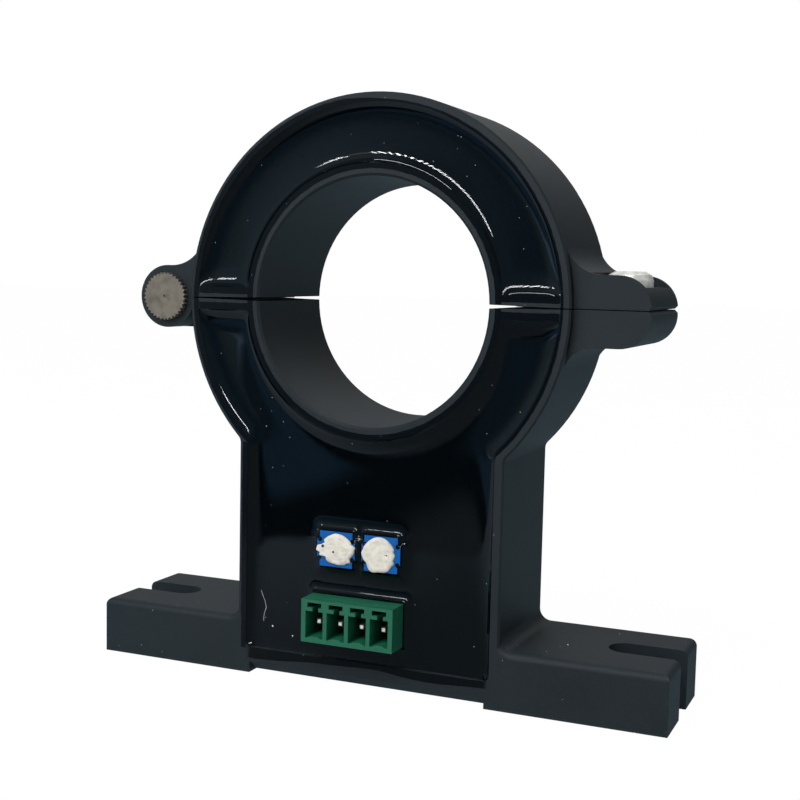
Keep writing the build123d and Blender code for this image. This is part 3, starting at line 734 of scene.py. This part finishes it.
def blended(stops, angle):
    """A value between stops round a full turn, each an angle in degrees and a value."""
    angle %= 360
    following = stops[1:] + [(stops[0][0] + 360, stops[0][1])]
    for (start, first), (stop, second) in zip(stops, following):
        if start <= angle <= stop:
            share = 0.5 - 0.5 * math.cos(math.pi * (angle - start) / (stop - start))
            return first + (second - first) * share
    raise ValueError(angle)


def dab_height(x, z, share, layer, dot):
    """How far a dab stands out at a share of its radius, with lumps, a shallow ring and a pit."""
    lump = sum(height * noise.noise((x * rate, layer, z * rate)) for height, rate in DAB_LUMPS)
    ring = BRUSH_RING_DEPTH * math.exp(-(((share - BRUSH_RING) / BRUSH_RING_WIDTH) ** 2))
    pit = DOT_DEPTH * math.exp(-((math.hypot(x - dot[0], z - dot[1]) / DOT_WIDTH) ** 2))
    edge = math.sqrt(max(0, 1 - share**DAB_STEEPNESS))
    return max((DAB_HEIGHT + lump - ring - pit) * edge, 0)


def dab_points(face_y, middle, outline, dot):
    """A dab's middle point and its rings of points."""
    x, z = middle
    points = [(x, face_y - DAB_HEIGHT, z)]
    for ring in range(1, DAB_RINGS + 1):
        share = math.sin(math.pi / 2 * ring / DAB_RINGS)
        for turn in range(DAB_TURNS):
            angle = math.radians(360 * turn / DAB_TURNS)
            wave = noise.noise((math.cos(angle) * 3, x, math.sin(angle) * 3))
            radius = blended(outline, math.degrees(angle)) * share * (1 + DAB_WOBBLE * wave)
            px, pz = x + radius * math.cos(angle), z + radius * math.sin(angle)
            points.append((px, face_y - dab_height(px, pz, share, x, dot), pz))
    return points


def ringed_faces(turns, rings):
    """Faces that join a middle point to its rings, and close the last ring from behind."""
    faces = [(0, 1 + (turn + 1) % turns, 1 + turn) for turn in range(turns)]
    for ring in range(rings - 1):
        first, second = 1 + ring * turns, 1 + (ring + 1) * turns
        for turn in range(turns):
            after = (turn + 1) % turns
            faces.append((first + turn, first + after, second + after, second + turn))
    last = 1 + (rings - 1) * turns
    return faces + [tuple(last + turn for turn in range(turns))]


def sealant_dab(name, node, middle, outline, dot):
    """A dab of sealant over a trimmer: a flat skin with a steep edge, a ring and a pinhole."""
    face_y = box_in_mm(node)[1].y
    mesh = bpy.data.meshes.new(name)
    points = [Vector(point) * MM for point in dab_points(face_y, middle, outline, dot)]
    mesh.from_pydata(points, [], ringed_faces(DAB_TURNS, DAB_RINGS))
    mesh.materials.append(sealant)
    mesh.polygons.foreach_set("use_smooth", [True] * len(mesh.polygons))
    shell = bmesh.new()
    shell.from_mesh(mesh)
    bmesh.ops.recalc_face_normals(shell, faces=shell.faces[:])
    shell.to_mesh(mesh)
    shell.free()
    return piece(name, mesh, "base", node)


housing_finish = moulded_black()
potting_finish = glossy_potting()
nickel = plated("nickel", (0.19, 0.168, 0.132), 0.34, 3 * MM, 0.55)
zinc = plated("zinc", (0.80, 0.79, 0.74), 0.22, 2 * MM, 0.42)
tinned = plated("tinned", (0.52, 0.51, 0.46), 0.25, 2 * MM)
brass = plated("brass", (0.66, 0.48, 0.20), 0.28, 1 * MM)
can_finish = plated("can_aluminium", (0.75, 0.76, 0.76), 0.3, 4 * MM)
core_finish = plated("core_strip", (0.26, 0.26, 0.27), 0.4, 9 * MM)
green_header = moulded("green_header", (0.004, 0.076, 0.040), (0.006, 0.098, 0.052))
blue_trimmer = moulded("blue_trimmer", (0.0, 0.058, 0.22), (0.0, 0.074, 0.28), shine=0.15)
rotor_finish = moulded("rotor_white", (0.55, 0.53, 0.48), (0.62, 0.6, 0.55))
epoxy = moulded("epoxy", (0.02, 0.02, 0.022), (0.028, 0.028, 0.03), 0.5)
board_finish = moulded("board_mask", (0.01, 0.07, 0.03), (0.014, 0.09, 0.04), 0.3)
spacer_finish = moulded("spacer_natural", (0.62, 0.58, 0.48), (0.7, 0.66, 0.56), 0.45)
ceramic_finish = moulded("ceramic_tan", (0.33, 0.22, 0.12), (0.38, 0.26, 0.15), 0.5)
sealant = chalky_sealant()

for node, material in {
    "lower_housing": housing_finish,
    "upper_housing": housing_finish,
    "lower_potting": potting_finish,
    "upper_potting": potting_finish,
    "hinge_pin": nickel,
    "closing_screw": zinc,
    "threaded_insert": brass,
    "upper_core": core_finish,
    "lower_core_left": core_finish,
    "lower_core_right": core_finish,
    "air_gap_spacer": spacer_finish,
    "hall_element": epoxy,
    "hall_leads": tinned,
    "circuit_board": board_finish,
    "header_shell": green_header,
    "header_pins": sheared_pins(box_in_mm("header_pins")[0].y),
    "trimmer_body_zero": blue_trimmer,
    "trimmer_body_span": blue_trimmer,
    "trimmer_rotor_zero": rotor_finish,
    "trimmer_rotor_span": rotor_finish,
    "trimmer_seal_zero": sealant,
    "trimmer_seal_span": sealant,
    "trimmer_pins": tinned,
    "amplifier_chip": epoxy,
    "voltage_regulator": epoxy,
    "protection_diode": epoxy,
    "bulk_capacitor": can_finish,
    "ceramic_capacitors": ceramic_finish,
    "chip_resistors": epoxy,
}.items():
    dress(node, material)

upper_resin = poured_resin(
    "upper_resin", "cover", "upper_potting", [upper_edge()], upper_walls, no_parts
)
lower_edges = [lower_edge(), header_edge(), *(trimmer_edge(middle) for middle in TRIMMER_MIDDLES)]
lower_resin = poured_resin(
    "lower_resin", "base", "lower_potting", lower_edges, lower_walls, lower_parts
)
sealant_dab("zero_dab", "trimmer_seal_zero", ZERO_MIDDLE, ZERO_OUTLINE, ZERO_DOT)
sealant_dab("span_dab", "trimmer_seal_span", SPAN_MIDDLE, SPAN_OUTLINE, SPAN_DOT)


class Recipe(Nodes):
    """A Geometry Nodes tree with named inputs for its sizes."""

    def __init__(self, name, **inputs):
        super().__init__(bpy.data.node_groups.new(name, "GeometryNodeTree"))
        face, self.keys = self.tree.interface, {}
        face.new_socket("Geometry", in_out="INPUT", socket_type="NodeSocketGeometry")
        for label, kind in inputs.items():
            socket = face.new_socket(label, in_out="INPUT", socket_type="NodeSocket" + kind)
            self.keys[label] = socket.identifier
        face.new_socket("Geometry", in_out="OUTPUT", socket_type="NodeSocketGeometry")
        given = self.tree.nodes.new("NodeGroupInput").outputs
        self.given = {socket.name: Wire(self, socket) for socket in given}

    def ends_in(self, geometry):
        """Make the instances real, give them their material and let them out."""
        real = self.node("GeometryNodeRealizeInstances", None, {"Geometry": geometry})
        sockets = {"Geometry": real, "Material": self.given["material"]}
        dressed = self.node("GeometryNodeSetMaterial", None, sockets)
        self.feed(self.tree.nodes.new("NodeGroupOutput").inputs[0], dressed)

    def make(self, name, body, mesh, **values):
        """Run the tree on a mesh and keep what comes out as a piece on that body.

        The record has no slot for dust, so it goes under the sealant's.
        """
        base = placed(name + "_base", mesh)
        modifier = base.modifiers.new(name, "NODES")
        modifier.node_group = self.tree
        for label, value in dict(values, material=dust).items():
            modifier[self.keys[label]] = value
        shaped = base.evaluated_get(bpy.context.evaluated_depsgraph_get())
        plain = bpy.data.meshes.new_from_object(shaped)
        bpy.data.objects.remove(base)
        plain.name = name
        return piece(name, plain, body)


def grain_recipe():
    """Grains of dust, scattered over faces or set on single points."""
    recipe = Recipe(
        "dust_grains",
        density="Float",
        size="Float",
        seed="Int",
        scattered="Bool",
        material="Material",
    )
    given = recipe.given

    def drawn(low, high):
        sockets = {0: low, 1: high, "Seed": given["seed"]}
        return recipe.node("FunctionNodeRandomValue", {"data_type": "FLOAT_VECTOR"}, sockets)

    faces = {"Mesh": given["Geometry"], "Density": given["density"], "Seed": given["seed"]}
    strewn = recipe.node("GeometryNodeDistributePointsOnFaces", None, faces)
    either = {"Switch": given["scattered"], "False": given["Geometry"], "True": strewn}
    chosen = recipe.node("GeometryNodeSwitch", {"input_type": "GEOMETRY"}, either)
    ball = {"Radius": given["size"], "Subdivisions": 1}
    set_out = {
        "Points": chosen,
        "Instance": recipe.node("GeometryNodeMeshIcoSphere", None, ball),
        "Scale": drawn((0.4, 0.35, 0.4), (1.3, 0.7, 1.3)),
        "Rotation": drawn((0.0, 0.0, 0.0), (0.5, 3.1, 0.5)),
    }
    recipe.ends_in(recipe.node("GeometryNodeInstanceOnPoints", None, set_out))
    return recipe


def lint_recipe():
    """A thin fibre along a chain of edges, which wanders a little."""
    recipe = Recipe("lint", radius="Float", wander="Float", curl="Float", material="Material")
    given = recipe.given
    line = recipe.node("GeometryNodeMeshToCurve", None, {"Mesh": given["Geometry"]})
    smooth = {"spline_type": "CATMULL_ROM"}
    line = recipe.node("GeometryNodeCurveSplineType", smooth, {"Curve": line})
    evenly = {"Curve": line, "Count": LINT_POINTS}
    line = recipe.node("GeometryNodeResampleCurve", None, evenly)
    waves = {"Scale": given["curl"], "Detail": 1.0}
    curl = recipe.node("ShaderNodeTexNoise", None, waves, output=1)
    about_zero = {0: curl, 1: (0.5, 0.5, 0.5)}
    centred = recipe.node("ShaderNodeVectorMath", {"operation": "SUBTRACT"}, about_zero)
    by_wander = {0: centred, "Scale": given["wander"]}
    offset = recipe.node("ShaderNodeVectorMath", {"operation": "SCALE"}, by_wander)
    line = recipe.node("GeometryNodeSetPosition", None, {"Geometry": line, "Offset": offset})
    round_one = {"Resolution": LINT_SIDES, "Radius": given["radius"]}
    ring = recipe.node("GeometryNodeCurvePrimitiveCircle", None, round_one)
    tube = {"Curve": line, "Profile Curve": ring, "Fill Caps": True}
    recipe.ends_in(recipe.node("GeometryNodeCurveToMesh", None, tube))
    return recipe


def takes_dust(face):
    """Whether a face looks to the front, or up and lies low, and isn't at the very bottom."""
    height = face.calc_center_median().z
    faces_dust = max(-face.normal.y, face.normal.z) >= 0.93
    above_floor = height >= (FLOOR_Z + DUST_LOWEST) * MM
    high_and_level = face.normal.z > 0.9 and height > FLOOR_Z * MM / 2
    return faces_dust and above_floor and not high_and_level


def dusty_faces(pieces):
    """A mesh of the faces of those pieces where dust settles."""
    shell = bmesh.new()
    for source in pieces:
        shell.from_mesh(source.data)
    bmesh.ops.remove_doubles(shell, verts=shell.verts[:], dist=0.001 * MM)
    clean = [face for face in shell.faces if not takes_dust(face)]
    bmesh.ops.delete(shell, geom=clean, context="FACES")
    mesh = bpy.data.meshes.new("dusty_faces")
    shell.to_mesh(mesh)
    shell.free()
    return mesh


def chain(points):
    """A mesh of points in millimetres, joined in a row."""
    mesh = bpy.data.meshes.new("chain")
    links = [(point, point + 1) for point in range(len(points) - 1)]
    mesh.from_pydata([Vector(point) * MM for point in points], links, [])
    return mesh


dust = moulded("dust", (0.34, 0.34, 0.33), (0.52, 0.52, 0.50), 0.8)
grains = grain_recipe()
for body, pieces in (
    ("base", [nodes["lower_housing"], lower_resin]),
    ("cover", [nodes["upper_housing"], upper_resin]),
):
    grains.make(
        f"dust_on_{body}",
        body,
        dusty_faces(pieces),
        density=DUST_DENSITY,
        size=DUST_SIZE * MM,
        seed=DUST_SEED,
        scattered=True,
    )
grains.make(
    "settled_grains",
    "base",
    chain(SPECKS),
    density=0.0,
    size=SPECK_SIZE * MM,
    seed=SPECK_SEED,
    scattered=False,
)
lint_recipe().make(
    "lint_fibre",
    "base",
    chain(LINT),
    radius=LINT_RADIUS * MM,
    wander=LINT_WANDER * MM,
    curl=LINT_CURL,
)


def photo_camera():
    """The camera at the photograph's place, turned by its yaw, pitch and roll."""
    data = bpy.data.cameras.new("photo_camera")
    data.lens, data.sensor_width = CAMERA_LENS, CAMERA_SENSOR
    data.clip_start, data.clip_end = CAMERA_NEAR, CAMERA_FAR
    level = math.cos(CAMERA_PITCH)
    forward = Vector(
        (-math.sin(CAMERA_YAW) * level, math.cos(CAMERA_YAW) * level, -math.sin(CAMERA_PITCH))
    )
    level_right = Vector((math.cos(CAMERA_YAW), math.sin(CAMERA_YAW), 0))
    level_up = level_right.cross(forward)
    cosine, sine = math.cos(CAMERA_ROLL), math.sin(CAMERA_ROLL)
    right = cosine * level_right + sine * level_up
    up = -sine * level_right + cosine * level_up
    turn = Matrix((right, up, -forward)).transposed().to_4x4()
    camera = placed("photo_camera", data)
    camera.matrix_world = Matrix.Translation(CAMERA_PLACE) @ turn
    bpy.context.scene.camera = camera


def soft_lamp(name, place, size, power):
    """A square soft box that shines at the object. No gloss shows it."""
    data = bpy.data.lights.new(name, "AREA")
    data.shape, data.size, data.energy = "SQUARE", size, power
    lamp = placed(name, data)
    lamp.location = place
    lamp.rotation_mode = "QUATERNION"
    lamp.rotation_quaternion = (Vector(LAMP_AIM) - Vector(place)).to_track_quat("-Z", "Y")
    lamp.visible_glossy = False


def staged(name, corners, material):
    """Flat pieces of the studio with four corners each, which aren't part of the object."""
    mesh = bpy.data.meshes.new(name)
    faces = [tuple(range(first, first + 4)) for first in range(0, len(corners), 4)]
    mesh.from_pydata(corners, [], faces)
    mesh.materials.append(material)
    made = placed(name, mesh)
    return made


def rectangle(low, high):
    """Four corners round a rectangle, whose two given corners agree in one axis."""
    sides = [axis for axis in range(3) if low[axis] != high[axis]]
    corners = []
    for ends in ((low, low), (high, low), (high, high), (low, high)):
        corner = list(low)
        for axis, end in zip(sides, ends):
            corner[axis] = end[axis]
        corners.append(corner)
    return corners


def background_rays(shader):
    """1 for the rays that show the white background: seen, mirrored or let through."""
    kinds = ("Is Camera Ray", "Is Glossy Ray", "Is Transmission Ray")
    seen, mirrored, let_through = (shader.node("LightPath", output=kind) for kind in kinds)
    return (seen + mirrored + let_through).clamp()


def pale_floor():
    """A white floor that keeps a faint shadow."""
    finish = Finish("pale_floor", Roughness=0.9, Base_Color=(0.9, 0.9, 0.9))
    white = finish.node("Emission", None, {"Color": (1, 1, 1), "Strength": 1.0})
    share = FLOOR_WHITE * background_rays(finish)
    grey = Wire(finish, finish.surface.outputs[0])
    finish.show(finish.node("MixShader", None, {0: share, 1: grey, 2: white}))
    level = (FLOOR_Z - 0.02) * MM
    low, high = (-FLOOR_REACH, -FLOOR_REACH, level), (FLOOR_REACH, FLOOR_REACH, level)
    staged("floor", rectangle(low, high), finish.material)


def pale_world():
    """A soft white sky, whiter where it is seen as the background."""
    world = bpy.data.worlds.new("studio")
    world.use_nodes = True
    bpy.context.scene.world = world
    sky = Shader(world.node_tree)
    background = sky.tree.nodes["Background"]
    sky.feed(background.inputs["Color"], (1, 1, 1))
    shown = background_rays(sky)
    sky.feed(background.inputs["Strength"], SKY_LIGHT + (1 - SKY_LIGHT) * shown)


def glow(name, colour):
    """Light of its own for a card. Its colour may be made by a function, from the place."""
    finish = Finish(name)
    colour = colour(finish) if callable(colour) else colour
    finish.show(finish.node("Emission", None, {"Color": colour, "Strength": 1.0}))
    return finish.material


def mirrored_only(made):
    """Let none but mirrored rays meet a thing."""
    made.visible_camera = made.visible_diffuse = made.visible_shadow = False
    made.visible_transmission = made.visible_volume_scatter = False


def card(name, low, high, colour):
    """A card outside the picture that shines in its colour, for the gloss alone."""
    material = glow(f"{name}_glow", colour)
    mirrored_only(staged(f"{name}_card", rectangle(low, high), material))


def bead_row(name, first_x, beads, material):
    """A row of small lamps for the gloss alone, each a slanting dash."""
    corners = []
    for number in range(beads):
        x = first_x + number * BEAD_PITCH
        for across, up in ((-1, -1), (1, -1), (1, 1), (-1, 1)):
            px = x + across * BEAD_WIDTH / 2 + up * BEAD_SLANT
            corners.append((px, BEADS_Y, BEADS_Z + up * BEAD_HEIGHT / 2))
    mirrored_only(staged(name, corners, material))


def wall_colour(finish):
    """The blue-grey room in front, paler to the left."""
    x, _, z = finish.axes()
    high = finish.mix(x.between(-0.40, -0.12), (0.24, 0.34, 0.44), (0.10, 0.16, 0.23))
    low = finish.mix(x.between(-0.45, -0.20), (0.20, 0.28, 0.32), (0.045, 0.10, 0.165))
    return finish.mix(z.between(-0.01, 0.11), low, high)


def table_colour(finish):
    """The table in front: pale close by, with a dark patch behind it, then as the room."""
    x, y, _ = finish.axes()
    close_by = finish.mix(x.between(-0.060, 0.0), (0.29, 0.36, 0.44), (0.11, 0.145, 0.17))
    dark = finish.mix(x.between(-0.110, -0.085), (0.08, 0.17, 0.30), (0.004, 0.008, 0.012))
    dark = finish.mix(x.between(-0.065, -0.035), dark, (0.12, 0.14, 0.17))
    beyond = finish.mix(x.between(-0.42, -0.30), (0.40, 0.62, 0.90), (0.050, 0.095, 0.15))
    nearer = finish.mix(y.between(-0.118, -0.104), dark, close_by)
    return finish.mix(y.between(-0.34, -0.25), beyond, nearer)


photo_camera()
pale_floor()
pale_world()
soft_lamp("key", place=(-0.05, -0.55, 0.75), size=0.5, power=9)
soft_lamp("fill", place=(-0.6, -0.6, 0.3), size=0.6, power=4)
low_z = (FLOOR_Z + 0.05) * MM
room_corner = (ROOM_LEFT, ROOM_FRONT, low_z)
card("room", room_corner, (ROOM_RIGHT, ROOM_FRONT, ROOM_HEIGHT), wall_colour)
card("table", room_corner, (ROOM_RIGHT, TABLE_BACK, low_z), table_colour)
card(
    "ceiling",
    (ROOM_LEFT, ROOM_FRONT, ROOM_HEIGHT),
    (ROOM_RIGHT, CEILING_BACK, ROOM_HEIGHT),
    (0.10, 0.13, 0.16),
)
card("side", (SIDE_X, ROOM_FRONT, low_z), (SIDE_X, ROOM_BACK, SIDE_HEIGHT), (0.07, 0.085, 0.092))
card("left", room_corner, (ROOM_LEFT, ROOM_BACK, ROOM_HEIGHT), (0.12, 0.16, 0.19))
card("far", (ROOM_LEFT, ROOM_BACK, low_z), (SIDE_X, ROOM_BACK, FAR_HEIGHT), (0.10, 0.12, 0.13))
card("back", (ROOM_LEFT, TABLE_BACK, low_z), (SIDE_X, ROOM_BACK, low_z), (0.22, 0.32, 0.38))
card(
    "bar",
    (-0.322, BEADS_Y, BEADS_Z - BAR_HALF_HEIGHT),
    (-0.245, BEADS_Y, BEADS_Z + BAR_HALF_HEIGHT),
    (0.9, 0.93, 0.96),
)
bead_glow = glow("bead_glow", (BEAD_LIGHT, BEAD_LIGHT, BEAD_LIGHT))
bead_row("bead_row", -0.25, 29, bead_glow)
bead_row("left_bead_row", -0.40, 4, bead_glow)
strip_colour = (STRIP_LIGHT, STRIP_LIGHT, STRIP_LIGHT)
card("strip", (-0.24, -0.166, 0.55), (0.18, -0.154, 0.55), strip_colour)
bpy.context.scene.view_settings.view_transform = "Standard"
